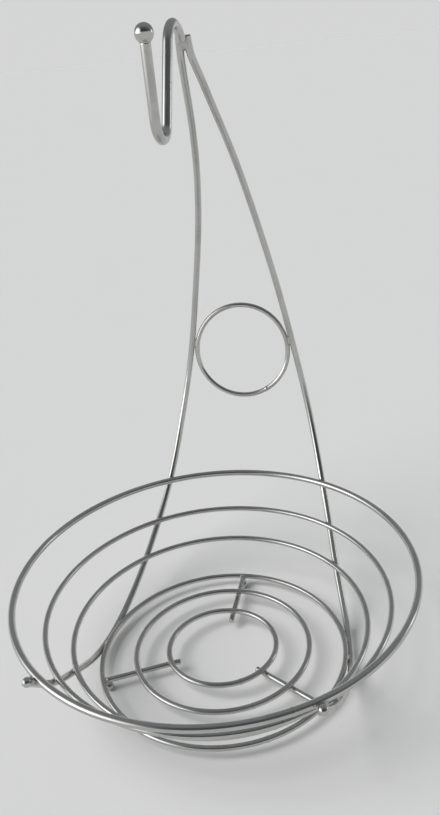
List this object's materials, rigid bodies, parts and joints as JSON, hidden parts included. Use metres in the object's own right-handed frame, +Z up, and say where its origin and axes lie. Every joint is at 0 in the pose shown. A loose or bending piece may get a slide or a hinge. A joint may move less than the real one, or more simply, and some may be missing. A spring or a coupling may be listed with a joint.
{
  "type": "fruit basket with banana hanger",
  "caption": "Round open wire fruit bowl on ball feet, with tall uprights that rise behind it and lean forward over it to carry a hook for bananas.",
  "frame": {"origin": "middle of the footprint's bounding box at floor level; the bowl's axis lies 16.9 mm in front of it", "axes": "+Z up, +Y to the back, where the uprights rise, +X to the right seen from the front"},
  "size_m": [0.29, 0.3238, 0.4389],
  "materials": {
    "chrome_wire": "plated round wire, bright with fine drawing marks",
    "chrome_ball": "plated balls, mirror bright"
  },
  "bodies": {
    "root": {"rim_ring": "chrome_wire", "upper_side_ring": "chrome_wire", "lower_side_ring": "chrome_wire", "base_outer_ring": "chrome_wire", "base_middle_ring": "chrome_wire", "base_inner_ring": "chrome_wire", "back_spoke": "chrome_wire", "left_spoke": "chrome_wire", "right_spoke": "chrome_wire", "left_upright": "chrome_wire", "right_upright": "chrome_wire", "scroll_ring": "chrome_wire", "banana_hook": "chrome_wire", "back_foot_ball": "chrome_ball", "left_foot_ball": "chrome_ball", "right_foot_ball": "chrome_ball", "left_upright_end_ball": "chrome_ball", "right_upright_end_ball": "chrome_ball", "hook_ball": "chrome_ball"}
  },
  "joints": []
}
